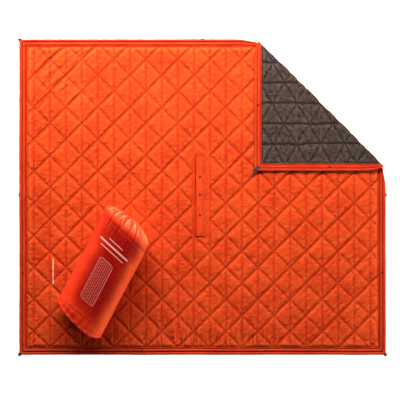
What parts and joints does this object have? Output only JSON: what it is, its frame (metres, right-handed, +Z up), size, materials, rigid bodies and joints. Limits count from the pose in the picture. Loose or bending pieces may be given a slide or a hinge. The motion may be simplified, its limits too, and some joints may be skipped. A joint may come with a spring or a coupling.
{
  "type": "camp blanket",
  "caption": "Quilted camp blanket with fleece lining, bound edges, snap placket over a neck slit, webbing loops, one folded corner, and its packed stuff sack.",
  "frame": {"origin": "middle of the blanket's outline on plan, at the underside of the lining", "axes": "+X along the blanket's long side, +Y along its short side, +Z up out of the quilted face"},
  "size_m": [1.802, 1.555, 0.2128],
  "materials": {
    "shell": "matte woven nylon",
    "binding": "matte woven nylon tape",
    "fleece": "brushed fleece",
    "fill": "lofted polyester",
    "snap": "moulded",
    "webbing": "woven tape",
    "sack": "coated nylon with a soft sheen"
  },
  "bodies": {
    "blanket": {"lining": "fleece", "batting": "fill", "shell": "shell", "binding_bottom": "binding", "binding_left": "binding", "binding_top": "binding", "binding_right": "binding", "snap_bottom_1": "snap", "snap_bottom_2": "snap", "snap_bottom_3": "snap", "snap_bottom_4": "snap", "snap_top": "binding", "snap_left": "snap", "snap_right": "snap", "neck_stud_1": "snap", "neck_stud_2": "snap", "neck_stud_3": "snap", "placket_hem": "binding", "tab_tl": "webbing", "tab_bl": "webbing", "tab_br": "webbing", "tab_top": "webbing", "tab_left": "webbing", "tab_right": "webbing"},
    "corner": {"corner_lining": "fleece", "corner_batting": "fill", "corner_shell": "shell", "corner_binding_top": "binding", "corner_binding_right": "binding", "corner_snap_top": "snap", "corner_snap_right": "snap", "corner_tab": "webbing"},
    "placket": {"placket": "binding", "placket_cap_1": "snap", "placket_cap_2": "snap", "placket_cap_3": "snap"},
    "sack": {"sack_side": "sack", "sack_base": "sack", "sack_base_piping": "sack", "sack_mouth": "sack", "sack_mouth_hem": "sack", "sack_roll": "fill"},
    "loop_tl": {"loop_tl": "webbing"},
    "loop_bl": {"loop_bl": "webbing"},
    "loop_br": {"loop_br": "webbing"},
    "loop_top": {"loop_top": "webbing"},
    "loop_left": {"loop_left": "webbing"},
    "loop_right": {"loop_right": "webbing"},
    "loop_corner": {"loop_corner": "webbing"}
  },
  "joints": [
    {"name": "corner_fold", "type": "hinge", "parent": "blanket", "child": "corner", "pos_m": [0.2495, 0.7655, 0.0125], "axis": [-0.7071, 0.7071, 0], "range_deg": [0, 179]},
    {"name": "placket_turn", "type": "hinge", "parent": "blanket", "child": "placket", "pos_m": [0.0084, 0, 0.0151], "axis": [0, 1, 0], "range_deg": [0, 170]},
    {"name": "sack_lift", "type": "slide", "parent": "blanket", "child": "sack", "axis": [0, 0, 1], "range_m": [0, 0.4]},
    {"name": "loop_tl_swing", "type": "hinge", "parent": "blanket", "child": "loop_tl", "pos_m": [-0.89013, 0.76663, 0.00115], "axis": [0.7071, 0.7071, 0], "range_deg": [0, 85]},
    {"name": "loop_bl_swing", "type": "hinge", "parent": "blanket", "child": "loop_bl", "pos_m": [-0.89013, -0.76663, 0.00115], "axis": [-0.7071, 0.7071, 0], "range_deg": [0, 85]},
    {"name": "loop_br_swing", "type": "hinge", "parent": "blanket", "child": "loop_br", "pos_m": [0.89013, -0.76663, 0.00115], "axis": [-0.7071, -0.7071, 0], "range_deg": [0, 85]},
    {"name": "loop_top_swing", "type": "hinge", "parent": "blanket", "child": "loop_top", "pos_m": [0, 0.7671, 0.00115], "axis": [1, 0, 0], "range_deg": [0, 85]},
    {"name": "loop_left_swing", "type": "hinge", "parent": "blanket", "child": "loop_left", "pos_m": [-0.8906, 0.01, 0.00115], "axis": [0, 1, 0], "range_deg": [0, 85]},
    {"name": "loop_right_swing", "type": "hinge", "parent": "blanket", "child": "loop_right", "pos_m": [0.8906, 0.01, 0.00115], "axis": [0, -1, 0], "range_deg": [0, 85]},
    {"name": "loop_corner_swing", "type": "hinge", "parent": "corner", "child": "loop_corner", "pos_m": [0.24837, 0.12487, 0.02385], "axis": [-0.7071, 0.7071, 0], "range_deg": [0, 85]}
  ]
}
